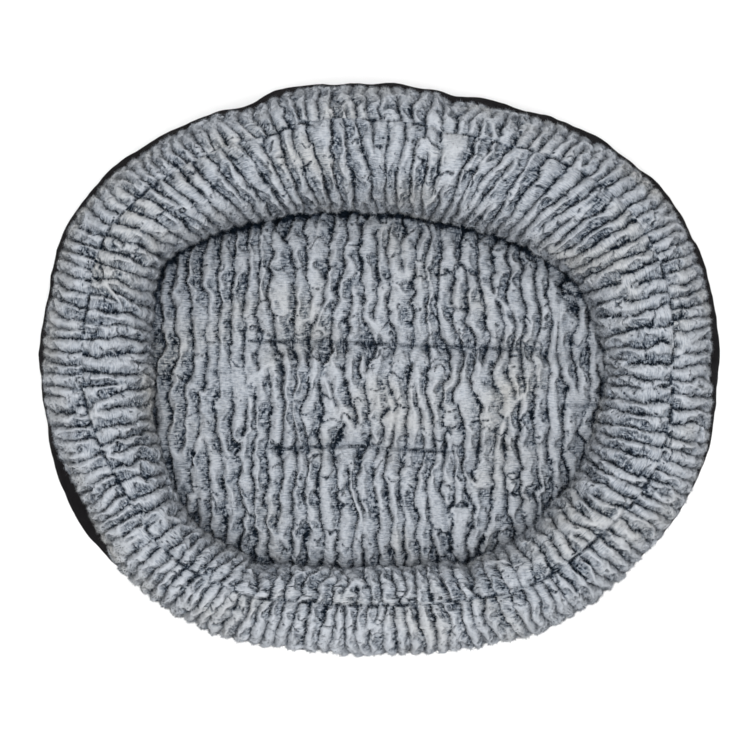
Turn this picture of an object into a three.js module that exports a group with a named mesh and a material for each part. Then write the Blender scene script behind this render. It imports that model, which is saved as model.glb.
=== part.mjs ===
// Oval pet bed: a stuffed roll of ribbed plush round a quilted cushion, closed below by dark fabric.
// Millimetres. +X is the bed's right, +Y its back, +Z up, and the origin is on the floor under its middle.
import * as THREE from 'three';

// Overall sizes
const BED_LENGTH = 635;
const BED_DEPTH = 534;
const ROLL_HEIGHT_BACK = 168;
const ROLL_HEIGHT_SIDE = 150;
const ROLL_HEIGHT_FRONT = 106;
const CUSHION_HEIGHT = 66;

// Fabrics and fits
const PLUSH_THICKNESS = 8;
const DARK_FABRIC_THICKNESS = 2;
const LINING_THICKNESS = 1.5;
const SEAM_WIDTH = 3;
const FIT_GAP = 0.3;

// Side band: the dark wall below the plush
const BAND_HEIGHT = 58;
const BAND_BULGE = 4;
const BASE_INSET = 28;
const BAND_BELLY_SHARES = [[0.32, 0.03], [0.66, 0.15], [0.93, 0.48]];

// Places where the dark band stands out past the plush: turn and spread in degrees, and how many more bulges
const BAND_SWELLS = [
  { turn: 206, spread: 13, bulgeShare: 3 },
  { turn: 2, spread: 9, bulgeShare: 2.5 },
  { turn: 74, spread: 11, bulgeShare: 1.5 },
];

// Plan of the bed, every 15 degrees from its right side round by its back, as shares of a plain ellipse
const OUTLINE_SHARES = [
  0.97, 0.995, 1.024, 1.022, 1.007, 0.981, 0.984, 1.008, 1.012, 1.042, 1.037, 0.996,
  0.991, 0.987, 1.0, 1.027, 1.03, 0.998, 0.985, 0.996, 1.019, 1.003, 0.997, 0.991,
];
const SLEEPING_SHARES = [
  0.66, 0.652, 0.645, 0.604, 0.563, 0.546, 0.55, 0.572, 0.613, 0.677, 0.73, 0.687,
  0.663, 0.685, 0.718, 0.76, 0.752, 0.715, 0.688, 0.698, 0.714, 0.692, 0.677, 0.656,
];

// Roll section: the seam along its crest, its bulge over the cushion and its foot beside the cushion
const CREST_INSET_BACK = 32;
const CREST_INSET_FRONT = 46;
const CREST_GROOVE_DEPTH = 5;
const CREST_GROOVE_WIDTH = 11;
const ROLL_SECTION_POWER = 2.3;
const BULGE_LEVEL_SHARE = 0.33;
const TUCK_SHARE = 0.16;
const FOOT_HEIGHT = 46;
const UNDERCUT_ANGLES = [30, 55, 78];

// Low front where the pet steps in: turns in degrees, with a crease at each end
const ENTRY_TURN = 267;
const ENTRY_FLAT_ANGLE = 12;
const ENTRY_END_ANGLE = 40;
const CREASE_TURNS = [243, 290.5];
const CREASE_ANGLE = 2.6;
const CREASE_DEPTH = 8;

// Cushion: its edge, the two powers of its crown and the two quilted lines across it
const CUSHION_EDGE_DROP = 6;
const CUSHION_CROWN_POWER = 4;
const CUSHION_ROUNDING_POWER = 0.8;
const CUSHION_END_TRIM = 2;
const QUILT_DEPTH = 13;
const QUILT_HALF_WIDTH = 13;
const QUILT_FADE = 26;
const QUILT_THREAD = 1.6;
// The quilted lines' places as shares of the bed's half depth and half length
const QUILT_LINES = [
  { name: 'quilt_seam_front', backShare: -0.281, leftShare: -0.328, rightShare: 0.617 },
  { name: 'quilt_seam_rear', backShare: 0.082, leftShare: -0.369, rightShare: 0.617 },
].map(quiltLine);
const QUILT_ROW_SHARES = [-2.2, -1.1, -0.45, 0, 0.45, 1.1, 2.2];
const END_ROW_SHARES = [0, 0.04, 0.14, 0.35, 0.65];
const MIDDLE_ROW_SHARES = [0.5];
const COLUMN_SHARES = [0, 0.02, 0.07, 0.15, 0.26, 0.38, 0.5, 0.62, 0.74, 0.85, 0.93, 0.98, 1];

// Steps of the meshes
const PLAN_STEPS = 48;
const CURVE_DIVISIONS = 10;
const BAND_STEP_SHARES = [0, 0.25, 0.5, 0.75, 1];
const OUTER_STEP_SHARES = [0, 0.27, 0.54, 0.78, 0.92, 1];
const INNER_STEP_SHARES = [0, 0.05, 0.15, 0.3, 0.46, 0.62, 0.77, 0.9, 1];

// Stuffing of the roll, in lengths parted at the creases and at the back's corners, in degrees
const FULL_TURN = 360;
const CORNER_TURNS = [45, 135];
const ROLL_FILLS = [
  { name: 'roll_fill_front', start: CREASE_TURNS[0], end: CREASE_TURNS[1] },
  { name: 'roll_fill_right', start: CREASE_TURNS[1], end: CORNER_TURNS[0] + FULL_TURN },
  { name: 'roll_fill_back', start: CORNER_TURNS[0], end: CORNER_TURNS[1] },
  { name: 'roll_fill_left', start: CORNER_TURNS[1], end: CREASE_TURNS[0] },
];

const toRadians = THREE.MathUtils.degToRad;
const mix = THREE.MathUtils.lerp;
const smooth = THREE.MathUtils.smoothstep;

// Materials
const plush = fabric(0x8d939b, 0.95);
const darkFabric = fabric(0x231f20, 0.8);
const fibre = fabric(0xf1f0ec, 1);
const liningFabric = fabric(0xd9d8d4, 0.95);
const thread = fabric(0x3b3f47, 0.7);

function fabric(color, roughness) {
  return new THREE.MeshStandardMaterial({ color, roughness, metalness: 0 });
}

// A value between evenly spaced shares that go once round the bed
function shareAround(shares, turn) {
  const place = (THREE.MathUtils.euclideanModulo(turn, FULL_TURN) / FULL_TURN) * shares.length;
  const first = Math.floor(place);
  const t = place - first;
  const [a, b, c, d] = [-1, 0, 1, 2].map((step) => shares[(first + step + shares.length) % shares.length]);
  return b + (t / 2) * (c - a + t * (2 * a - 5 * b + 4 * c - d + t * (3 * (b - c) + d - a)));
}

// Degrees between two turns, the short way round
function turnsApart(turn, other) {
  return Math.abs(THREE.MathUtils.euclideanModulo(turn - other + FULL_TURN / 2, FULL_TURN) - FULL_TURN / 2);
}

function hump(distance, spread) {
  return Math.exp(-((distance / spread) ** 2));
}

// The plain ellipse's own point at a turn, whose length all shares in the plan multiply
function ellipsePoint(turn) {
  const angle = toRadians(turn);
  return new THREE.Vector2((Math.cos(angle) * BED_LENGTH) / 2, (Math.sin(angle) * BED_DEPTH) / 2);
}

function outerReach(turn) {
  return ellipsePoint(turn).length() * shareAround(OUTLINE_SHARES, turn);
}

function sleepingReach(turn) {
  return ellipsePoint(turn).length() * shareAround(SLEEPING_SHARES, turn);
}

function rollWidth(turn) {
  return outerReach(turn) - sleepingReach(turn);
}

function footReach(turn) {
  return sleepingReach(turn) + rollWidth(turn) * TUCK_SHARE;
}

function baseReach(turn) {
  return outerReach(turn) - BASE_INSET;
}

function bandBulge(turn) {
  return BAND_SWELLS.reduce(
    (sum, swell) => sum + BAND_BULGE * swell.bulgeShare * hump(turnsApart(turn, swell.turn), swell.spread),
    BAND_BULGE,
  );
}

function rollTop(turn) {
  const backShare = smooth(Math.sin(toRadians(turn)), 0, 1);
  const entryShare = 1 - smooth(turnsApart(turn, ENTRY_TURN), ENTRY_FLAT_ANGLE, ENTRY_END_ANGLE);
  return mix(mix(ROLL_HEIGHT_SIDE, ROLL_HEIGHT_BACK, backShare), ROLL_HEIGHT_FRONT, entryShare);
}

function creaseShare(turn) {
  return Math.max(...CREASE_TURNS.map((crease) => hump(turnsApart(turn, crease), CREASE_ANGLE)));
}

// A point of the plush part of the roll: angle 0 at the band seam, PI at the bulge over the cushion
function crownPoint(turn, angle) {
  const power = 2 / ROLL_SECTION_POWER;
  const across = Math.cos(angle);
  const inward = (1 - Math.sign(across) * Math.abs(across) ** power) / 2;
  const bulgeLevel = mix(FOOT_HEIGHT, rollTop(turn), BULGE_LEVEL_SHARE);
  const side = mix(BAND_HEIGHT, bulgeLevel, smooth(inward, 0, 1));
  const height = mix(side, rollTop(turn), Math.abs(Math.sin(angle)) ** power);
  return new THREE.Vector2(outerReach(turn) - inward * rollWidth(turn), height);
}

// The crown angle where the crest seam runs, so many millimetres in from the outline
function crestAngle(turn) {
  const inset = mix(CREST_INSET_FRONT, CREST_INSET_BACK, (1 + Math.sin(toRadians(turn))) / 2);
  const across = 1 - (2 * inset) / rollWidth(turn);
  return Math.acos(Math.sign(across) * Math.abs(across) ** (ROLL_SECTION_POWER / 2));
}

// The roll's whole outer face at a turn, from the base seam over the crest to the foot by the cushion
function rollCurve(turn) {
  const crest = crestAngle(turn);
  const bandStart = DARK_FABRIC_THICKNESS / 4;
  const belly = BAND_BELLY_SHARES.map(([reachShare, heightShare]) => new THREE.Vector2(
    mix(baseReach(turn), outerReach(turn) + bandBulge(turn), reachShare),
    mix(bandStart, BAND_HEIGHT, heightShare),
  ));
  const bulge = crownPoint(turn, Math.PI);
  const undercut = UNDERCUT_ANGLES.map(toRadians).map((angle) => new THREE.Vector2(
    mix(bulge.x, footReach(turn), 1 - Math.cos(angle)),
    mix(bulge.y, FOOT_HEIGHT, Math.sin(angle)),
  ));
  const controls = [
    new THREE.Vector2(baseReach(turn), bandStart),
    ...belly,
    crownPoint(turn, 0),
    crownPoint(turn, crest / 3),
    crownPoint(turn, (crest * 2) / 3),
    crownPoint(turn, crest),
    crownPoint(turn, mix(crest, Math.PI, 1 / 4)),
    crownPoint(turn, mix(crest, Math.PI, 1 / 2)),
    crownPoint(turn, mix(crest, Math.PI, 3 / 4)),
    bulge,
    ...undercut,
    new THREE.Vector2(footReach(turn), FOOT_HEIGHT),
  ];
  const curve = new THREE.SplineCurve(controls);
  const lengths = curve.getLengths(CURVE_DIVISIONS * (controls.length - 1));
  const lengthTo = (control) => lengths[CURVE_DIVISIONS * controls.indexOf(control)];
  return {
    curve,
    heart: new THREE.Vector2(outerReach(turn) - rollWidth(turn) / 2, mix(FOOT_HEIGHT, rollTop(turn), 1 / 3)),
    bandSeam: lengthTo(controls[belly.length + 1]),
    crestSeam: lengthTo(controls[belly.length + 4]),
    foot: lengths[lengths.length - 1],
  };
}

// One point of the roll's face, drawn in at the crest seam and the creases, with its outward direction:
// square to the face near its ends, and turning away from the roll's heart over the crest
function facePoint(roll, turn, distance) {
  const share = distance / roll.foot;
  const tangent = roll.curve.getTangentAt(share);
  const point = roll.curve.getPointAt(share);
  const upper = smooth(distance, roll.bandSeam, roll.crestSeam)
    * (1 - smooth(distance, mix(roll.crestSeam, roll.foot, 1 / 2), roll.foot));
  const fromHeart = point.clone().sub(roll.heart).normalize();
  const outward = new THREE.Vector2(tangent.y, -tangent.x).lerp(fromHeart, upper).normalize();
  const groove = CREST_GROOVE_DEPTH * hump(distance - roll.crestSeam, CREST_GROOVE_WIDTH);
  const dip = Math.max(groove, CREASE_DEPTH * creaseShare(turn) * upper);
  return { point: point.addScaledVector(outward, -dip), outward };
}

function layer(face, depth) {
  return face.map(({ point, outward }) => point.clone().addScaledVector(outward, -depth));
}

// The faces of the three strips round the roll at a turn, each ending beside its seams
function rollFaces(turn) {
  const roll = rollCurve(turn);
  const clear = SEAM_WIDTH / 2 + FIT_GAP;
  const stretch = (start, end, shares) => (
    shares.map((share) => facePoint(roll, turn, mix(start, end, share)))
  );
  return {
    band: stretch(0, roll.bandSeam - clear, BAND_STEP_SHARES),
    outer: stretch(roll.bandSeam + clear, roll.crestSeam - clear, OUTER_STEP_SHARES),
    inner: stretch(roll.crestSeam + clear, roll.foot, INNER_STEP_SHARES),
    bandSeam: stretch(roll.bandSeam - SEAM_WIDTH / 2, roll.bandSeam + SEAM_WIDTH / 2, [0, 1]),
    crestSeam: stretch(roll.crestSeam - SEAM_WIDTH / 2, roll.crestSeam + SEAM_WIDTH / 2, [0, 1]),
  };
}

// Turns where sections are cut: even steps, and close ones through each crease
function planTurns() {
  const even = Array.from({ length: PLAN_STEPS }, (_, step) => (step * FULL_TURN) / PLAN_STEPS);
  const steps = [-2, -1, 0, 1, 2];
  const near = CREASE_TURNS.flatMap((crease) => steps.map((step) => crease + step * CREASE_ANGLE));
  const least = CREASE_ANGLE / 2;
  const clearOfCreases = even.filter((turn) => near.every((other) => turnsApart(turn, other) > least));
  return [...clearOfCreases, ...near].sort((a, b) => a - b);
}

const TURNS = planTurns();

function place(turn, section) {
  const ray = ellipsePoint(turn).normalize();
  return new THREE.Vector3(ray.x * section.x, ray.y * section.x, section.y);
}

function closedGeometry(points, triangles) {
  const geometry = new THREE.BufferGeometry().setFromPoints(points);
  geometry.setIndex(triangles);
  geometry.computeVertexNormals();
  return geometry;
}

// Quads between two loops of points with the same count. From backFrom on the loop runs back along
// a deeper face, and its quads are split the other way, so that nested faces have the same creases.
function sideTriangles(start, next, count, backFrom) {
  const triangles = [];
  for (let k = 0; k < count; k += 1) {
    const after = (k + 1) % count;
    if (k < backFrom) {
      triangles.push(start + k, next + k, next + after, start + k, next + after, start + after);
    } else {
      triangles.push(start + k, next + k, start + after, next + k, next + after, start + after);
    }
  }
  return triangles;
}

// A body swept round the bed through closed sections, as a ring or as a length with two ends
function sweep(turns, sectionAt, isRing) {
  const sections = turns.map((turn) => sectionAt(turn));
  const count = sections[0].length;
  const points = sections.flatMap((section, index) => section.map((corner) => place(turns[index], corner)));
  const last = turns.length - 1;
  const backFrom = isRing ? count / 2 : count;
  const triangles = [];
  for (let index = 0; index < last; index += 1) {
    triangles.push(...sideTriangles(index * count, (index + 1) * count, count, backFrom));
  }
  if (isRing) {
    triangles.push(...sideTriangles(last * count, 0, count, backFrom));
    return closedGeometry(points, triangles);
  }
  const faceAt = (index) => THREE.ShapeUtils.triangulateShape(sections[index], []);
  faceAt(0).forEach(([a, b, c]) => triangles.push(a, b, c));
  faceAt(last).forEach(([a, b, c]) => triangles.push(last * count + c, last * count + b, last * count + a));
  return closedGeometry(points, triangles);
}

function ring(sectionAt) {
  return sweep(TURNS, sectionAt, true);
}

// The skin between a strip's face and the same face a fabric's thickness deeper
function skin(face, thickness) {
  return [...layer(face, 0), ...layer(face, thickness).reverse()];
}

function flatPanel(reachAt, bottom, thickness) {
  const outline = new THREE.Shape(TURNS.map((turn) => ellipsePoint(turn).setLength(reachAt(turn))));
  const geometry = new THREE.ExtrudeGeometry(outline, { depth: thickness, bevelEnabled: false });
  return geometry.translate(0, 0, bottom);
}

function rectangle(nearReach, farReach, bottom, top) {
  return [
    new THREE.Vector2(nearReach, bottom),
    new THREE.Vector2(farReach, bottom),
    new THREE.Vector2(farReach, top),
    new THREE.Vector2(nearReach, top),
  ];
}

// Base: a flat panel with its seam round it
function baseSeamReach(turn) {
  const bandEnd = layer(rollFaces(turn).band, DARK_FABRIC_THICKNESS)[0];
  return bandEnd.x - FIT_GAP;
}

function basePanel() {
  return flatPanel((turn) => baseSeamReach(turn) - SEAM_WIDTH - FIT_GAP, 0, DARK_FABRIC_THICKNESS);
}

function baseSeam() {
  return ring((turn) => {
    const edge = baseSeamReach(turn);
    return rectangle(edge - SEAM_WIDTH, edge, DARK_FABRIC_THICKNESS / 4, DARK_FABRIC_THICKNESS);
  });
}

// Strips of the roll and the seams between them
function sideBand() {
  return ring((turn) => skin(rollFaces(turn).band, DARK_FABRIC_THICKNESS));
}

function outerCover() {
  return ring((turn) => skin(rollFaces(turn).outer, PLUSH_THICKNESS));
}

function innerCover() {
  return ring((turn) => skin(rollFaces(turn).inner, PLUSH_THICKNESS));
}

function bandSeam() {
  return ring((turn) => skin(rollFaces(turn).bandSeam, DARK_FABRIC_THICKNESS));
}

function crestSeam() {
  return ring((turn) => skin(rollFaces(turn).crestSeam, PLUSH_THICKNESS));
}

function cushionSeamReach(turn) {
  const footEnd = layer(rollFaces(turn).inner, PLUSH_THICKNESS).pop();
  return footEnd.x + FIT_GAP;
}

function cushionSeam() {
  return ring((turn) => {
    const near = cushionSeamReach(turn);
    const top = FOOT_HEIGHT + PLUSH_THICKNESS - FIT_GAP;
    return rectangle(near, near + SEAM_WIDTH, FOOT_HEIGHT - PLUSH_THICKNESS, top);
  });
}

// Stuffing of the roll: under the strips, on the base, and behind the cushion's seam
function rollFillSection(turn) {
  const faces = rollFaces(turn);
  const plushDepth = PLUSH_THICKNESS + FIT_GAP;
  const floor = DARK_FABRIC_THICKNESS + FIT_GAP;
  const wall = cushionSeamReach(turn) + SEAM_WIDTH + FIT_GAP;
  return [
    ...layer(faces.band, DARK_FABRIC_THICKNESS + FIT_GAP),
    ...layer(faces.outer, plushDepth),
    ...layer(faces.inner, plushDepth),
    new THREE.Vector2(wall, FOOT_HEIGHT + plushDepth),
    new THREE.Vector2(wall, floor),
    new THREE.Vector2(baseSeamReach(turn) - FIT_GAP, floor),
  ];
}

function rollFill({ start, end }) {
  const between = [...TURNS, ...TURNS.map((turn) => turn + FULL_TURN)];
  const trim = THREE.MathUtils.radToDeg(FIT_GAP / (2 * footReach(start)));
  const turns = [
    start + trim,
    ...between.filter((turn) => turn > start + trim && turn < end - trim),
    end - trim,
  ];
  return sweep(turns, rollFillSection, false);
}

// Cushion outline inside the roll's foot, and the left and right ends of a row across it
function cushionOutline() {
  return TURNS.map((turn) => ellipsePoint(turn).setLength(footReach(turn) - FIT_GAP));
}

function rowEnds(outline, y) {
  const crossings = [];
  outline.forEach((point, index) => {
    const next = outline[(index + 1) % outline.length];
    if ((point.y - y) * (next.y - y) < 0) {
      crossings.push(mix(point.x, next.x, (y - point.y) / (next.y - point.y)));
    }
  });
  return [Math.min(...crossings), Math.max(...crossings)];
}

function quiltLine({ name, backShare, leftShare, rightShare }) {
  return {
    name,
    y: (backShare * BED_DEPTH) / 2,
    left: (leftShare * BED_LENGTH) / 2,
    right: (rightShare * BED_LENGTH) / 2,
  };
}

function quiltDip(x, y) {
  return QUILT_LINES.reduce((deepest, line) => {
    const start = smooth(x, line.left - QUILT_FADE, line.left + QUILT_FADE);
    const end = 1 - smooth(x, line.right - QUILT_FADE, line.right + QUILT_FADE);
    return Math.max(deepest, QUILT_DEPTH * start * end * hump(y - line.y, QUILT_HALF_WIDTH));
  }, 0);
}

// Height of the cushion's plush: a crown that falls to its drawn-in edge, with the quilted lines sunk in
function cushionTop(x, y) {
  const turn = THREE.MathUtils.radToDeg(Math.atan2(y / BED_DEPTH, x / BED_LENGTH));
  const share = Math.min(1, Math.hypot(x, y) / footReach(turn));
  const crown = (1 - share ** CUSHION_CROWN_POWER) ** CUSHION_ROUNDING_POWER;
  return mix(FOOT_HEIGHT - CUSHION_EDGE_DROP, CUSHION_HEIGHT, crown) - quiltDip(x, y) * crown;
}

function cushionRows(outline) {
  const front = Math.min(...outline.map((point) => point.y)) + CUSHION_END_TRIM;
  const back = Math.max(...outline.map((point) => point.y)) - CUSHION_END_TRIM;
  const acrossLine = ({ y }) => QUILT_ROW_SHARES.map((share) => y + share * QUILT_HALF_WIDTH);
  const [nearLine, farLine] = QUILT_LINES.map(acrossLine);
  return [
    ...END_ROW_SHARES.map((share) => mix(front, nearLine[0], share)),
    ...nearLine,
    ...MIDDLE_ROW_SHARES.map((share) => mix(nearLine[nearLine.length - 1], farLine[0], share)),
    ...farLine,
    ...END_ROW_SHARES.map((share) => mix(back, farLine[farLine.length - 1], share)).reverse(),
  ];
}

// Places in plan shared by the cushion's layers, so that they nest
function cushionGrid() {
  const outline = cushionOutline();
  return cushionRows(outline).map((y) => {
    const [left, right] = rowEnds(outline, y);
    return COLUMN_SHARES.map((share) => new THREE.Vector2(mix(left, right, share), y));
  });
}

const CUSHION_GRID = cushionGrid();

// A layer of the cushion between two heights over each place of the grid
function cushionLayer(topAt, bottomAt) {
  const columns = COLUMN_SHARES.length;
  const places = CUSHION_GRID.flat();
  const points = [
    ...places.map(({ x, y }) => new THREE.Vector3(x, y, topAt(x, y))),
    ...places.map(({ x, y }) => new THREE.Vector3(x, y, bottomAt(x, y))),
  ];
  const triangles = [];
  for (let row = 0; row < CUSHION_GRID.length - 1; row += 1) {
    for (let column = 0; column < columns - 1; column += 1) {
      const near = row * columns + column;
      const far = near + columns;
      triangles.push(near, near + 1, far + 1, near, far + 1, far);
      const [lowNear, lowFar] = [near + places.length, far + places.length];
      triangles.push(lowNear, lowFar + 1, lowNear + 1, lowNear, lowFar, lowFar + 1);
    }
  }
  const rim = rimIndices(CUSHION_GRID.length, columns);
  rim.forEach((corner, index) => {
    const next = rim[(index + 1) % rim.length];
    const [low, lowNext] = [corner + places.length, next + places.length];
    triangles.push(low, lowNext, next, low, next, corner);
  });
  return closedGeometry(points, triangles);
}

// Grid corners round the rim, counter-clockwise seen from above
function rimIndices(rows, columns) {
  const steps = (count) => Array.from({ length: count - 1 }, (_, step) => step);
  const last = rows - 1;
  return [
    ...steps(columns),
    ...steps(rows).map((row) => row * columns + columns - 1),
    ...steps(columns).map((column) => last * columns + columns - 1 - column),
    ...steps(rows).map((row) => (last - row) * columns),
  ];
}

function cushionCover() {
  return cushionLayer(cushionTop, (x, y) => cushionTop(x, y) - PLUSH_THICKNESS);
}

function cushionFill() {
  const floor = DARK_FABRIC_THICKNESS + LINING_THICKNESS + 2 * FIT_GAP;
  return cushionLayer((x, y) => cushionTop(x, y) - PLUSH_THICKNESS - FIT_GAP, () => floor);
}

function cushionLining() {
  return flatPanel((turn) => footReach(turn) - FIT_GAP, DARK_FABRIC_THICKNESS + FIT_GAP, LINING_THICKNESS);
}

// A quilting thread laid along the bottom of its line, over the same columns as the cushion
function quiltSeam({ y, left, right }) {
  const row = CUSHION_GRID.find((places) => Math.abs(places[0].y - y) < FIT_GAP);
  const run = row.filter(({ x }) => x >= left && x <= right);
  const half = QUILT_THREAD / 2;
  const section = [[0, 0], [half, half], [0, QUILT_THREAD], [-half, half]];
  const points = run.flatMap(({ x }) => section.map(([across, up]) => (
    new THREE.Vector3(x, y + across, cushionTop(x, y) + FIT_GAP + up)
  )));
  const count = section.length;
  const triangles = [0, 2, 1, 0, 3, 2];
  for (let index = 0; index < run.length - 1; index += 1) {
    triangles.push(...sideTriangles((index + 1) * count, index * count, count, count));
  }
  const end = (run.length - 1) * count;
  triangles.push(end, end + 1, end + 2, end, end + 2, end + 3);
  return closedGeometry(points, triangles);
}

function named(name, geometry, material) {
  const mesh = new THREE.Mesh(geometry, material);
  mesh.name = name;
  return mesh;
}

const group = new THREE.Group();
group.add(
  named('base_panel', basePanel(), darkFabric),
  named('base_seam', baseSeam(), thread),
  named('side_band', sideBand(), darkFabric),
  named('band_seam', bandSeam(), thread),
  named('outer_cover', outerCover(), plush),
  named('crest_seam', crestSeam(), thread),
  named('inner_cover', innerCover(), plush),
  named('cushion_seam', cushionSeam(), thread),
  named('cushion_lining', cushionLining(), liningFabric),
  named('cushion_fill', cushionFill(), fibre),
  named('cushion_cover', cushionCover(), plush),
  ...ROLL_FILLS.map((length) => named(length.name, rollFill(length), fibre)),
  ...QUILT_LINES.map((line) => named(line.name, quiltSeam(line), thread)),
);

export default group;
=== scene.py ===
import math

import bpy
import numpy as np
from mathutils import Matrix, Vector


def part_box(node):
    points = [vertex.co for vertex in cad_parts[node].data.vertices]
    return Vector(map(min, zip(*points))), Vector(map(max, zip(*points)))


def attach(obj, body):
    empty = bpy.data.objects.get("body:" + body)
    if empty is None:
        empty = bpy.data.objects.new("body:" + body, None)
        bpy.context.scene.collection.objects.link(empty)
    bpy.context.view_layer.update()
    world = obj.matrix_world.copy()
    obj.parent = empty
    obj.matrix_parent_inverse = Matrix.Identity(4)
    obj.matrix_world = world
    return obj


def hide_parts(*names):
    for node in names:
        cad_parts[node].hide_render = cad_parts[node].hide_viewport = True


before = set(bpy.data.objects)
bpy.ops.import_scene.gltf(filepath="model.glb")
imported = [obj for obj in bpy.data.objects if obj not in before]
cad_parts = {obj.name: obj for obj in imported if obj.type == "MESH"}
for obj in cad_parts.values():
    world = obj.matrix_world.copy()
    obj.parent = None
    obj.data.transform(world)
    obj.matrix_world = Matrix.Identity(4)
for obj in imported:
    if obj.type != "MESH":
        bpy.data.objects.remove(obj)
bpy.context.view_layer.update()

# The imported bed's own sizes
BED_LENGTH = 0.635
BED_DEPTH = 0.534
ROLL_HEIGHT_BACK = 0.168
ROLL_HEIGHT_SIDE = 0.150
ROLL_HEIGHT_FRONT = 0.106
CUSHION_HEIGHT = 0.066
BAND_HEIGHT = 0.058
BAND_BULGE = 0.004
BASE_INSET = 0.028
FOOT_HEIGHT = 0.046
CREST_INSET_BACK = 0.032
CREST_INSET_FRONT = 0.046
CREST_GROOVE_DEPTH = 0.005
CREST_GROOVE_WIDTH = 0.011
CREASE_DEPTH = 0.008
CUSHION_EDGE_DROP = 0.006
QUILT_DEPTH = 0.013
QUILT_HALF_WIDTH = 0.013
QUILT_FADE = 0.026
PLUSH_THICKNESS = 0.008
FABRIC_THICKNESS = 0.002
LINING_THICKNESS = 0.0015
SEAM_WIDTH = 0.003
FIT_GAP = 0.0003

# Powers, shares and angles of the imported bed's plan and section
FULL_TURN = 360
ROLL_SECTION_POWER = 2.3
BULGE_LEVEL_SHARE = 0.33
TUCK_SHARE = 0.16
UNDERCUT_ANGLES = [30, 55, 78]
BAND_BELLY_SHARES = [(0.32, 0.03), (0.66, 0.15), (0.93, 0.48)]
BAND_SWELLS = [(206, 13, 3), (2, 9, 2.5), (74, 11, 1.5)]
ENTRY_TURN = 267
ENTRY_FLAT_ANGLE = 12
ENTRY_END_ANGLE = 40
CREASE_TURNS = [243, 290.5]
CREASE_ANGLE = 2.6
CORNER_TURNS = [45, 135]
CUSHION_CROWN_POWER = 4
CUSHION_ROUNDING_POWER = 0.8
QUILT_LINE_SHARES = [(-0.281, -0.328, 0.617), (0.082, -0.369, 0.617)]
OUTLINE_SHARES = np.array([
    0.97, 0.995, 1.024, 1.022, 1.007, 0.981, 0.984, 1.008, 1.012, 1.042, 1.037, 0.996,
    0.991, 0.987, 1.0, 1.027, 1.03, 0.998, 0.985, 0.996, 1.019, 1.003, 0.997, 0.991,
])
SLEEPING_SHARES = np.array([
    0.66, 0.652, 0.645, 0.604, 0.563, 0.546, 0.55, 0.572, 0.613, 0.677, 0.73, 0.687,
    0.663, 0.685, 0.718, 0.76, 0.752, 0.715, 0.688, 0.698, 0.714, 0.692, 0.677, 0.656,
])

# How much further the band swells at each fifteenth degree, where its dark cloth shows beyond the plush
BAND_SHOWN_SHARES = np.array([
    0.0, 1.0, 1.3, 1.1, 1.2, 0.5, 0.8, 1.0, 1.1, 2.0, 1.4, 1.4,
    1.1, -0.2, 1.1, 0.0, 0.0, 0.0, 0.0, 0.0, 0.0, 0.0, 0.5, 0.9,
])
# Steps in the outline, sharp at both ends of the back's bulge: turn, spread and reach
OUTLINE_STEPS = [
    (107, 3, 0.0012), (113.5, 3, -0.0030), (80.5, 2, 0.0015), (76.5, 2.5, -0.0015), (333, 9, 0.0025),
    (25, 10, -0.0018), (65, 11, -0.0050), (78, 5, -0.0028), (109.5, 6, -0.0045), (135, 12, -0.0040),
    (178, 6, -0.0012), (208, 9, -0.0045), (246, 5, 0.0020),
]
FRONT_OVERHANG = 0.003
# A bare patch and a short fold on the cushion, in metres from the bed's middle
PATCH_PLACE = (-0.140, -0.009)
PATCH_REACH = 0.017
FOLD_PLACE = (-0.031, 0.163, 0.196)
# How the quilting lines stray from straight, from left to right, and how far to the right they show
QUILT_SWAY = 0.005
QUILT_SWAY_SHARES = [[0.2, 0.8, -0.2, -0.4, 0.0], [1.0, 0.8, 0.1, -0.4, -0.4]]
QUILT_SHOWN_SHARES = [0.25, 0.50]
# How far the painted shade beside the quilting lines reaches
QUILT_SHADE_REACH = 0.006
# How far the painted light on the cushion's middle reaches, and how the painted shadow line at its edge and
# its dark dashes of painted shade vary
CUSHION_PAINTED_LIGHT_REACH = 0.11
EDGE_WAVINESS = 0.0012
DASH_LENGTH = 0.006

# Ridges of the parted pile
PILE_DEPTH = 0.0072
PILE_PROUD = 0.0010
OUTER_RIDGES = 144
INNER_RIDGES = 108
CUSHION_PITCH = 0.0142
RIDGE_RUN = 0.13
RIDGE_SPREAD = 0.17
ROLL_WAVINESS = 0.65
# How far the painted shade reaches where the rolls meet the cushion, also the length of the seams' dashes
SHADE_REACH = 0.006
SEAM_SINK = 0.0052
RIM_WIDTH = 0.0015
GOLDEN_SHARE = 0.618
# Lengths over which the ridges wander, bend and fray, and their floors, pockets and depth change
WANDER_LENGTH = 0.022
BEND_LENGTH = 0.007
HAIR_LENGTH = 0.0014
FLOOR_LENGTH = 0.010
POCKET_LENGTH = 0.005
DEPTH_LENGTH = 0.009
# How far apart the ridges break, how far a break runs on, and how breaks and pressed places vary
BREAK_PITCH = 0.045
BREAK_RUN = 0.05
BREAK_LENGTH = 0.006
PRESSED_LENGTH = 0.0065

# Meshes: columns round the roll, and rows across each strip
ROLL_COLUMNS = 1764
OUTER_ROWS = 92
INNER_ROWS = 130
CUSHION_COLUMN_STEP = 0.0010
CUSHION_ROW_STEP = 0.00132
BAND_COLUMNS = 1440
BAND_ROWS = 48

# Loose fibres that stand out of the pile
FIBRE_LENGTH = 0.0032
FIBRE_WIDTH = 0.00050
FIBRES_PER_AREA = 0.45e6
TUFT_LENGTH = 0.0015

# The band's puckers and folds, how deep it goes in under the plush, and its length round the bed
PUCKER_PITCH = 0.016
PUCKER_RUN = 0.12
PUCKER_HEIGHT = 0.0010
SEAM_PUCKER_HEIGHT = 0.0004
BAND_FOLD_LENGTH = 0.028
BAND_TUCK_DEPTH = 0.0035
BAND_AROUND = 1.75

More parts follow.
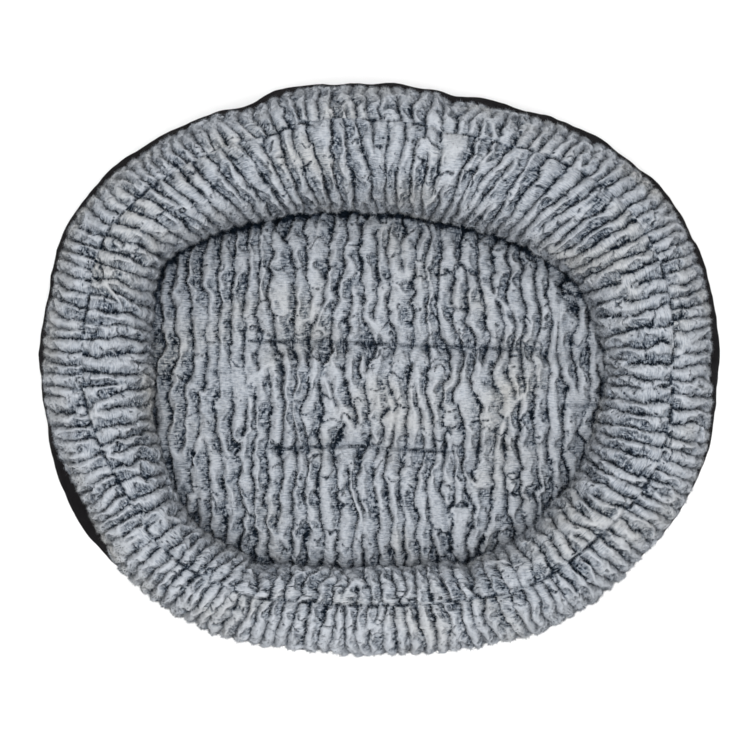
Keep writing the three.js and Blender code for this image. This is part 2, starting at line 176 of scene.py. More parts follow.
# Stitches, the flat cloths of the base and the cushion, and the lumps of stuffing
STITCH_PITCH = 0.0042
THREAD_RADIUS = 0.00045
CREST_STITCH_DEPTH = 0.0056
BAND_STITCH_PROUD = 0.0002
BASE_HEM = 0.007
BASE_CLOTH_HEIGHT = 0.0002
BASE_CLOTH_THICKNESS = 0.0016
BASE_RIPPLES = 0.00005
LINING_CLOTH_THICKNESS = 0.0012
LINING_RIPPLES = 0.0001
RIPPLE_STEPS = (0.006, 0.004)
RIPPLE_LENGTH = 0.03
ROLL_LUMPS = 0.0012
ROLL_LUMP_STEPS = (0.004, 0.006)
CUSHION_LUMPS = 0.0010
CUSHION_LUMP_STEPS = (0.005, 0.004)
LUMP_LENGTH = 0.016
STUFFING_END_ANGLE = 0.15

# Depth of the fine relief of each material
PLUSH_RELIEF = 0.0012
WEAVE_RELIEF = 0.0004
THREAD_RELIEF = 0.0002
FILL_RELIEF = 0.0015
LINING_RELIEF = 0.0003

# The cover as a cloth: its columns, its rows from seam to seam, and how it is blown up
CLOTH_COLUMNS = 300
CLOTH_ROWS = (14, 15, 30)
CLOTH_PRESSURE = 2
CLOTH_LOOSENESS = 0.03
CLOTH_STIFFNESS = 4
CLOTH_UNEVENNESS = 0.0006
CLOTH_UNEVEN_LENGTH = 0.010
CLOTH_FRAMES = 14
CLOTH_LEAST_FOLDS = 12
CLOTH_MOST_FOLDS = 80
CLOTH_REACH = 0.004
CLOTH_STEP = 0.0055
CLOTH_MIDDLE_STEPS = 4

# Lengths of the roll, parted at the creases and at the back's corners, and the cushion's panels
ROLL_LENGTHS = [
    ("front", *CREASE_TURNS), ("right", CREASE_TURNS[1], CORNER_TURNS[0] + FULL_TURN),
    ("back", *CORNER_TURNS), ("left", CORNER_TURNS[1], CREASE_TURNS[0]),
]
CUSHION_PANELS = ["front", "middle", "rear"]

# On the roll within this angle of this turn the ridges take their painted shade on their other side
TURNED_TURN = 15
TURNED_ANGLE = 75
TURNED_FADE = 8

# Camera, floor, and each light's name, place and power
CAMERA_HEIGHT = 4.6
CAMERA_OFFSET = -0.0047
CAMERA_REACH = 100
VIEW_WIDTH = 0.700
SENSOR_MM = 36
FLOOR_HALF_WIDTH = 8
LIGHT_SIZE = 2.4
LIGHTS = [
    ("front_light", (0.1, -1.1, 3.6), 74),
    ("back_light", (-0.1, 1.2, 3.6), 43),
    ("top_light", (0, -0.1, 4.3), 62),
]


def mix(a, b, share):
    return a + (b - a) * share


def smooth(value, low, high):
    share = np.clip((value - low) / (high - low), 0, 1)
    return share * share * (3 - 2 * share)


def hump(distance, spread):
    return np.exp(-(distance / spread) ** 2)


# 1 between a rise and a fall, and 0 outside them
def plateau(value, rise, fall):
    return smooth(value, *rise) * (1 - smooth(value, *fall))


def dot(a, b):
    return np.sum(a * b, -1, keepdims=True)


def unit(vectors):
    return vectors / np.maximum(np.linalg.norm(vectors, axis=-1, keepdims=True), 1e-12)


# A value between evenly spaced shares that go once round the bed
def share_around(shares, turns):
    place = (turns % FULL_TURN) / FULL_TURN * len(shares)
    first = np.floor(place).astype(int)
    t = place - first
    a, b, c, d = (shares[(first + step) % len(shares)] for step in (-1, 0, 1, 2))
    return b + t / 2 * (c - a + t * (2 * a - 5 * b + 4 * c - d + t * (3 * (b - c) + d - a)))


def turns_apart(turns, other):
    return np.abs((turns - other + FULL_TURN / 2) % FULL_TURN - FULL_TURN / 2)


def ellipse_points(turns):
    angles = np.radians(turns)
    return np.stack([np.cos(angles) * BED_LENGTH / 2, np.sin(angles) * BED_DEPTH / 2], -1)


def sleeping_reach(turns):
    return np.linalg.norm(ellipse_points(turns), axis=-1) * share_around(SLEEPING_SHARES, turns)


def outer_reach(turns):
    return np.linalg.norm(ellipse_points(turns), axis=-1) * share_around(OUTLINE_SHARES, turns)


def foot_reach(turns):
    return mix(sleeping_reach(turns), outer_reach(turns), TUCK_SHARE)


class Roll:
    """The roll's section at each of some turns: its curve from the base seam over the crest to its foot."""

    def __init__(self, turns):
        self.turns = turns
        self.outer = outer_reach(turns) + sum(
            reach * hump(turns_apart(turns, turn), spread) for turn, spread, reach in OUTLINE_STEPS
        )
        self.width = self.outer - sleeping_reach(turns)
        self.foot_reach = foot_reach(turns)
        self.rays = unit(ellipse_points(turns))
        back = smooth(np.sin(np.radians(turns)), 0, 1)
        entry = 1 - smooth(turns_apart(turns, ENTRY_TURN), ENTRY_FLAT_ANGLE, ENTRY_END_ANGLE)
        self.top = mix(mix(ROLL_HEIGHT_SIDE, ROLL_HEIGHT_BACK, back), ROLL_HEIGHT_FRONT, entry)
        self.creases = np.max([hump(turns_apart(turns, c), CREASE_ANGLE) for c in CREASE_TURNS], axis=0)
        self.heart = np.stack([self.outer - self.width / 2, mix(FOOT_HEIGHT, self.top, 1 / 3)], -1)
        self.controls = np.stack(self.control_points(), axis=1)
        places = np.linspace(0, self.controls.shape[1] - 1, 10 * (self.controls.shape[1] - 1) + 1)
        self.table_places = places
        steps = np.diff(self.curve_at(np.broadcast_to(places[:, None], (len(places), len(turns)))), axis=0)
        lengths = np.cumsum(np.linalg.norm(steps, axis=-1), axis=0)
        self.table = np.concatenate([np.zeros((1, len(turns))), lengths])
        belly = len(BAND_BELLY_SHARES)
        self.band_seam = self.table[10 * (belly + 1)]
        self.crest_seam = self.table[10 * (belly + 4)]
        self.bulge = self.table[10 * (belly + 8)]
        self.foot = self.table[-1]

    def crown_point(self, angle):
        power = 2 / ROLL_SECTION_POWER
        across = np.cos(angle) + 0 * self.turns
        inward = (1 - np.sign(across) * np.abs(across) ** power) / 2
        bulge_level = mix(FOOT_HEIGHT, self.top, BULGE_LEVEL_SHARE)
        side = mix(BAND_HEIGHT, bulge_level, smooth(inward, 0, 1))
        height = mix(side, self.top, np.abs(np.sin(angle)) ** power)
        return np.stack([self.outer - inward * self.width, height], -1)

    def control_points(self):
        inset = mix(CREST_INSET_FRONT, CREST_INSET_BACK, (1 + np.sin(np.radians(self.turns))) / 2)
        across = 1 - 2 * inset / self.width
        crest = np.arccos(np.sign(across) * np.abs(across) ** (ROLL_SECTION_POWER / 2))
        bulge = BAND_BULGE * (1 + share_around(BAND_SHOWN_SHARES, self.turns)) + sum(
            BAND_BULGE * more * hump(turns_apart(self.turns, at), spread) for at, spread, more in BAND_SWELLS
        )
        base = self.outer - BASE_INSET
        start = FABRIC_THICKNESS / 4
        flat = np.ones(len(self.turns))
        points = [np.stack([base, start * flat], -1)]
        for reach_share, height_share in BAND_BELLY_SHARES:
            reach = mix(base, self.outer + bulge, reach_share)
            points.append(np.stack([reach, mix(start, BAND_HEIGHT, height_share) * flat], -1))
        points += [self.crown_point(crest * third / 3) for third in range(4)]
        points += [self.crown_point(mix(crest, math.pi, quarter / 4)) for quarter in range(1, 5)]
        inner = points[-1]
        for angle in np.radians(UNDERCUT_ANGLES):
            reach = mix(inner[:, 0], self.foot_reach, 1 - math.cos(angle))
            points.append(np.stack([reach, mix(inner[:, 1], FOOT_HEIGHT, math.sin(angle))], -1))
        points.append(np.stack([self.foot_reach, FOOT_HEIGHT * flat], -1))
        return points

    def curve_at(self, places):
        last = self.controls.shape[1] - 1
        first = np.clip(np.floor(places).astype(int), 0, last - 1)
        t = (places - first)[..., None]
        columns = np.arange(len(self.turns))
        a, b, c, d = (self.controls[columns, np.clip(first + step, 0, last)] for step in (-1, 0, 1, 2))
        v, w = (c - a) / 2, (d - b) / 2
        return (2 * b - 2 * c + v + w) * t ** 3 + (-3 * b + 3 * c - 2 * v - w) * t ** 2 + v * t + b

    def face(self, distances):
        """Places (rows, turns, reach and height) at distances (rows, turns), and their outward directions."""
        places = np.stack([
            np.interp(distances[:, k], self.table[:, k], self.table_places) for k in range(len(self.turns))
        ], axis=1)
        step = 1e-3
        ahead, behind = self.curve_at(places + step), self.curve_at(np.maximum(places - step, 0))
        tangent = unit(ahead - behind)
        square = np.stack([tangent[..., 1], -tangent[..., 0]], -1)
        points = self.curve_at(places)
        half_way = mix(self.crest_seam, self.foot, 0.5)
        upper = plateau(distances, (self.band_seam, self.crest_seam), (half_way, self.foot))
        outward = unit(mix(square, unit(points - self.heart), upper[..., None]))
        groove = CREST_GROOVE_DEPTH * hump(distances - self.crest_seam, CREST_GROOVE_WIDTH)
        dip = np.maximum(groove, CREASE_DEPTH * self.creases * upper)
        return points - outward * dip[..., None], outward

    def place(self, section):
        """Points of the sections in the bed's own axes."""
        flat = self.rays * section[..., :1]
        return np.concatenate([flat, section[..., 1:]], -1)


def frequencies(shape, steps):
    return np.fft.fftfreq(shape[1], steps[1])[None, :], np.fft.fftfreq(shape[0], steps[0])[:, None]


# Smooth random values that repeat at the grid's edges, with a given least length, spread about 0 by about 1.
# They come from a seed, or are a generator's next draws.
def soft_noise(source, shape, steps, length):
    across, along = frequencies(shape, steps)
    keep = np.exp(-(across ** 2 + along ** 2) * (length * 2) ** 2)
    draws = np.random.default_rng(source).standard_normal(shape)
    field = np.fft.ifft2(np.fft.fft2(draws) * keep).real
    return field / field.std()


# A wave across the columns whose crests wander, fork and end, as complex numbers
def wandering_wave(rng, shape, steps, pitch, run, spread):
    across, along = frequencies(shape, steps)
    keep = np.exp(-(((across * pitch - 1) / spread) ** 2 + (along * run) ** 2) / 2)
    noise = rng.standard_normal(shape) + 1j * rng.standard_normal(shape)
    field = np.fft.ifft2(np.fft.fft2(noise) * keep)
    return field / np.sqrt(np.mean(np.abs(field) ** 2))


# Height and tone across one ridge: a light edge and a round top that darkens to the right, painted light and
# shade as if the ridge were lit from the left, and then a rough floor that ends in the dark line before the
# next one
def ridge_profile(place, floor_share, pocket):
    across = np.clip(place / (1 - floor_share), 0, 1)
    line = 1 - smooth(place, 1 - pocket, 0.98)
    height = np.maximum(np.sin(np.pi * across) ** 0.6, 0.5 * line * smooth(across, 0.7, 1))
    # Painted shade: the top darkens to the right, as if the ridge were lit from the left
    top = 0.97 - 0.34 * smooth(across, 0.25, 1)
    tone = mix(top, 0.58 * line, smooth(across, 0.88, 1)) * smooth(place, 0, 0.07)
    return np.stack([height, tone])


# Pile parted into ridges that run along the rows: its height from 0 in the deepest parting to 1, and
# its tone from its dark roots to its light tips, with painted shade across each ridge. Turned ridges take
# that painted shade on the left.
def parted_pile(seed, shape, steps, pitch, waviness, turned=0):
    rng = np.random.default_rng(seed)

    def drift(length):
        return soft_noise(rng, shape, steps, length)

    wave = wandering_wave(rng, shape, steps, pitch, RIDGE_RUN, RIDGE_SPREAD)
    wander = waviness * (0.9 * drift(WANDER_LENGTH) + 0.45 * drift(BEND_LENGTH)) + 0.18 * drift(HAIR_LENGTH)
    crests = np.unwrap(np.angle(wave * np.exp(1j * wander)), axis=1) / (2 * np.pi)
    place, ridge_number = crests % 1, np.floor(crests)
    floor_share = mix(0.03, 0.66, smooth(drift(FLOOR_LENGTH), -0.9, 1.9))
    pocket = mix(0.14, 0.37, smooth(drift(POCKET_LENGTH), -0.6, 1.6))
    rightward, leftward = (ridge_profile(across, floor_share, pocket) for across in (place, 1 - place))
    ridge = mix(rightward, leftward, turned)
    depth = smooth(np.abs(wave), 0.03, 0.30) * mix(0.55, 1, smooth(drift(DEPTH_LENGTH), -1.8, 0.2))
    breaks = wandering_wave(rng, shape[::-1], steps[::-1], BREAK_PITCH, BREAK_RUN, 0.4).T
    breaks = breaks * np.exp(1j * (2 * np.pi * GOLDEN_SHARE * ridge_number + 0.5 * drift(BREAK_LENGTH)))
    broken = smooth(np.abs(np.angle(breaks)), 0.94 * np.pi, np.pi) * smooth(np.abs(breaks), 0.2, 0.7)
    pressed = (1 - 0.7 * broken) * (1 + 0.04 * drift(PRESSED_LENGTH))
    height, tone = (1 - (1 - ridge) * depth) * pressed
    tone = tone + 1.4 * drift(HAIR_LENGTH) * np.clip(tone, 0, 1) * np.clip(0.75 - tone, 0, 1)
    return np.clip(height, 0, 1.1), np.clip(tone, 0, 1.1)


# Values at places between a grid's points
def sample(field, rows, columns):
    row, column = np.floor(rows).astype(int), np.floor(columns).astype(int)
    down, right = rows - row, columns - column
    tall, wide = field.shape[:2]
    if field.ndim > 2:
        down, right = down[..., None], right[..., None]
    near = mix(field[row % tall, column % wide], field[row % tall, (column + 1) % wide], right)
    far = mix(field[(row + 1) % tall, column % wide], field[(row + 1) % tall, (column + 1) % wide], right)
    return mix(near, far, down)


def grid_normals(points, closed):
    along = np.gradient(points, axis=0)
    if closed:
        across = (np.roll(points, -1, axis=1) - np.roll(points, 1, axis=1)) / 2
    else:
        across = np.gradient(points, axis=1)
    return unit(np.cross(across, along))


# Corners of the faces of a grid of points, and the grid's corner numbers that their map uses
def grid_faces(rows, columns, closed):
    across = columns if closed else columns - 1
    row, column = np.indices((rows - 1, across)).reshape(2, -1)
    corner_rows = np.stack([row, row, row + 1, row + 1], -1)
    corner_columns = np.stack([column, column + 1, column + 1, column], -1)
    faces = corner_rows * columns + corner_columns % columns
    flat = np.stack([corner_columns / across, corner_rows / (rows - 1)], -1)
    return faces, flat


def add_object(name, data):
    made = bpy.data.objects.new(name, data)
    bpy.context.scene.collection.objects.link(made)
    return made


def make_piece(name, points, faces, flat, slot, values=None, normals=None):
    mesh = bpy.data.meshes.new(name)
    mesh.vertices.add(points.size // 3)
    mesh.vertices.foreach_set("co", points.astype(np.float32).ravel())
    sides = faces.shape[1]
    mesh.loops.add(faces.size)
    mesh.loops.foreach_set("vertex_index", faces.astype(np.int32).ravel())
    mesh.polygons.add(len(faces))
    mesh.polygons.foreach_set("loop_start", np.arange(0, faces.size, sides, dtype=np.int32))
    mesh.update(calc_edges=True)
    mesh.shade_smooth()
    if flat is not None:
        layer = mesh.uv_layers.new(name="OFBake")
        layer.data.foreach_set("uv", flat.astype(np.float32).ravel())
    for key, numbers in (values or {}).items():
        kind, field = ("FLOAT_VECTOR", "vector") if numbers.ndim > 1 else ("FLOAT", "value")
        attribute = mesh.attributes.new(key, kind, "POINT")
        attribute.data.foreach_set(field, numbers.astype(np.float32).ravel())
    if normals is not None:
        mesh.normals_split_custom_set_from_vertices(normals)
    mesh.materials.append(materials[slot])
    piece = add_object(name, mesh)
    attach(piece, "root")
    return piece


# Materials

def node(tree, kind, sockets=None, **settings):
    made = tree.nodes.new("ShaderNode" + kind)
    for key, value in settings.items():
        setattr(made, key, value)
    for key, value in (sockets or {}).items():
        if isinstance(value, bpy.types.NodeSocket):
            tree.links.new(value, made.inputs[key])
        else:
            made.inputs[key].default_value = value
    return made


def sums(tree, operation, *values, clamp=False):
    made = tree.nodes.new("ShaderNodeMath")
    made.operation = operation
    made.use_clamp = clamp
    for socket, value in zip(made.inputs, values):
        if isinstance(value, bpy.types.NodeSocket):
            tree.links.new(value, socket)
        else:
            socket.default_value = value
    return made.outputs[0]


def noise(tree, vector, scale, detail=2, roughness=0.5):
    sockets = {"Vector": vector, "Scale": scale, "Detail": detail, "Roughness": roughness}
    return node(tree, "TexNoise", sockets).outputs["Fac"]


def stretched(tree, vector, scale):
    return node(tree, "Mapping", {"Vector": vector, "Scale": scale}).outputs["Vector"]


def ramp(tree, value, stops):
    made = node(tree, "ValToRGB", {"Fac": value})
    elements = made.color_ramp.elements
    while len(elements) < len(stops):
        elements.new(0.5)
    for element, (place, colour) in zip(elements, stops):
        element.position = place
        element.color = (*colour, 1)
    return made.outputs["Color"]


def start_material(name, roughness, sheen=0, specular=0.3):
    material = bpy.data.materials.new(name)
    material.use_nodes = True
    tree = material.node_tree
    shader = tree.nodes["Principled BSDF"]
    shader.inputs["Roughness"].default_value = roughness
    shader.inputs["Sheen Weight"].default_value = sheen
    shader.inputs["Sheen Roughness"].default_value = 0.5
    shader.inputs["Specular IOR Level"].default_value = specular
    return material, tree, shader


def bump(tree, shader, height, distance, strength):
    made = node(tree, "Bump", {"Height": height, "Distance": distance, "Strength": strength})
    tree.links.new(made.outputs["Normal"], shader.inputs["Normal"])


def plush_material():
    """Two-tone pile: dark roots in the partings and light tips, with fine fibres across the ridges. Its pile
    tone also carries painted light and shade.
    """
    material, tree, shader = start_material("ribbed_plush", 0.95, sheen=0.015, specular=0.02)
    pile = node(tree, "Attribute", attribute_name="pile").outputs["Fac"]
    lie = node(tree, "Attribute", attribute_name="lie").outputs["Vector"]
    scales = (260, 720, 1), (720, 260, 1), (160, 900, 1)
    across, along, combed = (noise(tree, stretched(tree, lie, scale), 1, 1) for scale in scales)
    region = ramp(tree, noise(tree, lie, 130), [(0.46, (0, 0, 0)), (0.54, (1, 1, 1))])
    strokes = node(tree, "Mix", {"Factor": region, "A": across, "B": along}).outputs["Result"]
    rough = sums(tree, "MULTIPLY", pile, sums(tree, "SUBTRACT", 0.75, pile, clamp=True))
    contrast = sums(tree, "MULTIPLY_ADD", rough, 11, 0.22)
    ragged = sums(tree, "MULTIPLY", sums(tree, "SUBTRACT", strokes, 0.5), contrast)
    fine = sums(tree, "MULTIPLY", sums(tree, "SUBTRACT", combed, 0.5), 0.80)
    shown = sums(tree, "ADD", sums(tree, "ADD", pile, ragged), fine)
    warm = ramp(tree, noise(tree, lie, 12), [(0.50, (0, 0, 0)), (0.80, (1, 1, 1))])
    cool_colour = ramp(tree, shown, [
        (0.00, (0.002, 0.005, 0.009)),
        (0.22, (0.011, 0.016, 0.025)),
        (0.45, (0.058, 0.071, 0.090)),
        (0.66, (0.158, 0.178, 0.205)),
        (0.84, (0.274, 0.295, 0.325)),
        (1.00, (0.346, 0.365, 0.394)),
    ])
    colour = node(tree, "Mix", data_type="RGBA", blend_type="MULTIPLY")
    tree.links.new(warm, colour.inputs["Factor"])
    tree.links.new(cool_colour, colour.inputs[6])
    colour.inputs[7].default_value = (1.06, 1.0, 0.90, 1)
    tree.links.new(colour.outputs[2], shader.inputs["Base Color"])
    bump(tree, shader, sums(tree, "ADD", strokes, combed), PLUSH_RELIEF, 0.8)
    return material


def dark_fabric_material():
    material, tree, shader = start_material("dark_fabric", 0.85, specular=0.02)
    lie = node(tree, "Attribute", attribute_name="lie").outputs["Vector"]
    threads = {"Vector": lie, "Scale": 330, "Distortion": 0}
    warp, weft = (node(tree, "TexWave", threads, bands_direction=way).outputs["Fac"] for way in "XY")
    weave = sums(tree, "MULTIPLY", warp, weft)
    worn = noise(tree, lie, 60, 4, 0.6)
    shade = sums(tree, "MULTIPLY_ADD", worn, 0.7, sums(tree, "MULTIPLY", weave, 0.3))
    colour = ramp(tree, shade, [
        (0.25, (0.0045, 0.0040, 0.0047)),
        (0.60, (0.0088, 0.0079, 0.0090)),
        (0.90, (0.0180, 0.0162, 0.0180)),
    ])
    tree.links.new(colour, shader.inputs["Base Color"])
    bump(tree, shader, weave, WEAVE_RELIEF, 0.8)
    return material


# A material whose two colours and fine relief follow one noise: its scale, detail and roughness
def grained_material(name, roughness, sheen, specular, grain, colours, relief, strength):
    material, tree, shader = start_material(name, roughness, sheen, specular)
    grains = noise(tree, node(tree, "TexCoord").outputs["Object"], *grain)
    colour = ramp(tree, grains, list(zip((0.3, 0.7), colours)))
    tree.links.new(colour, shader.inputs["Base Color"])
    bump(tree, shader, grains, relief, strength)
    return material


def thread_material():
    colours = [(0.003, 0.004, 0.006), (0.012, 0.014, 0.018)]
    return grained_material("seam_thread", 0.8, 0.05, 0.1, (1400, 2, 0.5), colours, THREAD_RELIEF, 0.8)


def fibre_fill_material():
    colours = [(0.62, 0.61, 0.58), (0.88, 0.87, 0.84)]
    return grained_material("fibre_fill", 1.0, 0.3, 0.1, (180, 5, 0.7), colours, FILL_RELIEF, 0.9)


def lining_material():
    colours = [(0.58, 0.57, 0.55), (0.74, 0.73, 0.71)]
    return grained_material("lining_cloth", 0.95, 0.1, 0.2, (700, 4, 0.65), colours, LINING_RELIEF, 0.6)


# Each material under the name of its slot
materials = {
    "ribbed_plush": plush_material(),
    "dark_fabric": dark_fabric_material(),
    "seam_thread": thread_material(),
    "fibre_fill": fibre_fill_material(),
    "lining_cloth": lining_material(),
}


# The cushion's form

def quilt_line_y(x, line):
    back_share, left_share, right_share = QUILT_LINE_SHARES[line]
    sways = QUILT_SWAY_SHARES[line]
    places = np.linspace(left_share, right_share, len(sways)) * BED_LENGTH / 2
    return back_share * BED_DEPTH / 2 + QUILT_SWAY * np.interp(x, places, sways)


# How deep the quilting pulls the cushion in
def quilt_dip(x, y):
    deepest = np.zeros(x.shape)
    for line, (_, left_share, right_share) in enumerate(QUILT_LINE_SHARES):
        left, right = left_share * BED_LENGTH / 2, right_share * BED_LENGTH / 2
        reach = plateau(x, (left - QUILT_FADE, left + QUILT_FADE), (right - QUILT_FADE, right + QUILT_FADE))
        dip = QUILT_DEPTH * reach * hump(y - quilt_line_y(x, line), QUILT_HALF_WIDTH)
        deepest = np.maximum(deepest, dip)
    return deepest


# How far the pile is held down along the quilting and the short fold, from 0 to 1
def held_down(x, y, width=RIM_WIDTH):
    held = np.zeros(x.shape)
    for line, (_, left_share, _) in enumerate(QUILT_LINE_SHARES):
        left, right = left_share * BED_LENGTH / 2, QUILT_SHOWN_SHARES[line] * BED_LENGTH / 2
        reach = plateau(x, (left - QUILT_FADE / 2, left), (right - QUILT_FADE, right))
        held = np.maximum(held, reach * hump(y - quilt_line_y(x, line), 0.8 * width))
    fold_y, left, right = FOLD_PLACE
    fold = plateau(x, (left - RIM_WIDTH, left + PATCH_REACH), (right, right + PATCH_REACH))
    return np.maximum(held, 0.7 * fold * hump(y - fold_y - QUILT_SWAY / 2 * np.sin(x / PATCH_REACH), width))


def turns_at(x, y):
    return np.degrees(np.arctan2(y / BED_DEPTH, x / BED_LENGTH))


def cushion_share(x, y):
    return np.hypot(x, y) / (foot_reach(turns_at(x, y)) - FIT_GAP)


def cushion_top(x, y):
    share = np.minimum(1, cushion_share(x, y))
    crown = (1 - share ** CUSHION_CROWN_POWER) ** CUSHION_ROUNDING_POWER
    return mix(FOOT_HEIGHT - CUSHION_EDGE_DROP, CUSHION_HEIGHT, crown) - quilt_dip(x, y) * crown


# Turns that share the roll's crest into equal lengths
def even_turns(count):
    turns = np.linspace(0, FULL_TURN, 4 * FULL_TURN + 1)
    flat = unit(ellipse_points(turns)) * mix(sleeping_reach(turns), outer_reach(turns), 0.6)[:, None]
    lengths = np.concatenate([[0], np.cumsum(np.linalg.norm(np.diff(flat, axis=0), axis=-1))])
    return np.interp(np.arange(count) / count * lengths[-1], lengths, turns)


def strip_distances(start, end, rows):
    return mix(start[None, :], end[None, :], np.linspace(0, 1, rows)[:, None])


# Cloth: the roll's cover as one loose cloth, held at its seams and blown up from within

def blown_cloth(points, faces, held):
    """Where the points of a cloth of these faces come to rest, held at some of them and blown outward."""
    mesh = bpy.data.meshes.new("cloth")
    mesh.from_pydata(points.tolist(), [], faces.tolist())
    cloth = add_object("cloth", mesh)
    group = cloth.vertex_groups.new(name="held")
    group.add(np.nonzero(held)[0].tolist(), 1.0, "REPLACE")
    modifier = cloth.modifiers.new("cloth", "CLOTH")
    settings = modifier.settings
    settings.quality = 6
    settings.mass = 0.15
    settings.air_damping = 4
    settings.tension_stiffness = 12
    settings.compression_stiffness = 12
    settings.shear_stiffness = 3
    settings.bending_stiffness = CLOTH_STIFFNESS
    settings.shrink_min = -CLOTH_LOOSENESS
    settings.vertex_group_mass = "held"
    settings.use_pressure = True
    settings.uniform_pressure_force = CLOTH_PRESSURE
    settings.effector_weights.gravity = 0
    modifier.collision_settings.use_collision = False
    modifier.point_cache.frame_start = 1
    modifier.point_cache.frame_end = CLOTH_FRAMES
    for frame_number in range(1, CLOTH_FRAMES + 1):
        bpy.context.scene.frame_set(frame_number)
    shape = cloth.evaluated_get(bpy.context.evaluated_depsgraph_get()).to_mesh()
    settled = np.empty(len(points) * 3, np.float32)
    shape.vertices.foreach_get("co", settled)
    bpy.context.scene.frame_set(1)
    bpy.data.objects.remove(cloth)
    bpy.data.meshes.remove(mesh)
    return settled.reshape(-1, 3).astype(float)


def swollen_roll():
    """The cloth's turns, and how far its folds stand out at each row and turn, in metres."""
    turns = even_turns(CLOTH_COLUMNS)
    roll = Roll(turns)
    ends = [0 * roll.foot, roll.band_seam, roll.crest_seam, roll.foot]
    parts = []
    for start, end, rows in zip(ends, ends[1:], CLOTH_ROWS):
        parts.append(strip_distances(start, end, rows + 1)[:-1])
    distances = np.concatenate([*parts, roll.foot[None, :]])
    base = roll.place(roll.face(distances)[0])
    normals = grid_normals(base, True)
    steps = (roll.foot.mean() / len(distances), np.linalg.norm(base[:, 1:] - base[:, :-1], axis=-1).mean())
    uneven = soft_noise(5, distances.shape, steps, CLOTH_UNEVEN_LENGTH)
    start = base + normals * (CLOTH_UNEVENNESS * uneven)[..., None]
    held = np.zeros(distances.shape, bool)
    held[np.cumsum([0, *CLOTH_ROWS])] = True
    faces, _ = grid_faces(*distances.shape, closed=True)
    settled = blown_cloth(start.reshape(-1, 3), faces, held.ravel())
    moved = np.sum((settled.reshape(base.shape) - base) * normals, -1)
    waves = np.fft.rfft(moved, axis=1)
    waves[:, :CLOTH_LEAST_FOLDS] = 0
    waves[:, CLOTH_MOST_FOLDS:] = 0
    folds = np.fft.irfft(waves, CLOTH_COLUMNS, axis=1)
    return turns, np.clip(folds, -CLOTH_REACH / 2, CLOTH_REACH)


def swollen_cushion():
    """The same for the cushion's cover, held at its edge and its quilting, on a grid of places."""
    low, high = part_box("cushion_cover")
    x, y = np.meshgrid(np.arange(low.x, high.x, CLOTH_STEP), np.arange(low.y, high.y, CLOTH_STEP))
    share = cushion_share(x, y)
    inside = share < 1
    base = np.stack([x, y, cushion_top(x, y)], -1)
    uneven = soft_noise(6, x.shape, (CLOTH_STEP, CLOTH_STEP), CLOTH_UNEVEN_LENGTH)
    start = base + np.stack([0 * x, 0 * x, CLOTH_UNEVENNESS * uneven], -1)
    faces, _ = grid_faces(*x.shape, closed=False)
    faces = faces[inside.ravel()[faces].all(axis=1)]
    used, corners = np.unique(faces, return_inverse=True)
    held = ((share > 1 - CLOTH_STEP / BED_DEPTH * 4) | (held_down(x, y) > 0.1)).ravel()[used]
    settled = blown_cloth(start.reshape(-1, 3)[used], corners.reshape(faces.shape), held)
    folds = np.zeros(x.size)
    folds[used] = settled[:, 2] - base.reshape(-1, 3)[used, 2]
    folds = folds.reshape(x.shape)
    reach = 2 * CLOTH_MIDDLE_STEPS + 1
    padded = np.pad(folds, CLOTH_MIDDLE_STEPS, mode="edge")
    around = np.lib.stride_tricks.sliding_window_view(padded, (reach, reach)).mean(axis=(-1, -2))
    return (low.x, low.y), np.clip(folds - around, -CLOTH_REACH / 2, CLOTH_REACH)


# The cloth's folds on a finer grid that covers some of its rows, at each column's turn
def folds_at(turns, first_row, last_row, rows):
    cloth_turns, folds = cover_folds
    columns = np.interp(turns % FULL_TURN, [*cloth_turns, FULL_TURN], np.arange(CLOTH_COLUMNS + 1))
    row = np.broadcast_to(np.linspace(first_row, last_row, rows)[:, None], (rows, len(turns)))
    column = np.broadcast_to(columns, row.shape)
    return sample(folds, np.minimum(row, len(folds) - 1.001), column)


cover_folds = swollen_roll()
cushion_folds = swollen_cushion()


# The plush strips of the roll

def pile_surface(base, normals, height, tone, sewn, sink, lie, closed, fuller=0):
    rise = mix(PILE_PROUD + fuller - PILE_DEPTH * (1 - height), -sink, sewn)
    points = base + normals * rise[..., None]
    return dict(points=points, normals=grid_normals(points, closed), base=normals, pile=tone, lie=lie)


# Places on a cloth that goes round the roll, as it would lie flat: along the roll and across it
def cloth_places(distances, step):
    around = np.broadcast_to(np.arange(distances.shape[1]) * step, distances.shape)
    return np.stack([around, distances, 0 * distances], -1)


# Where the roll's seams sink deeper and show as dark dashes of painted shade in their grooves, round the roll
# from 0 to 1
def seam_dashes():
    steps = (SHADE_REACH, BED_LENGTH * 3 / ROLL_COLUMNS)
    field = soft_noise(61, (FULL_TURN, ROLL_COLUMNS), steps, SHADE_REACH)
    return smooth(field[0], -0.6, 1.0)


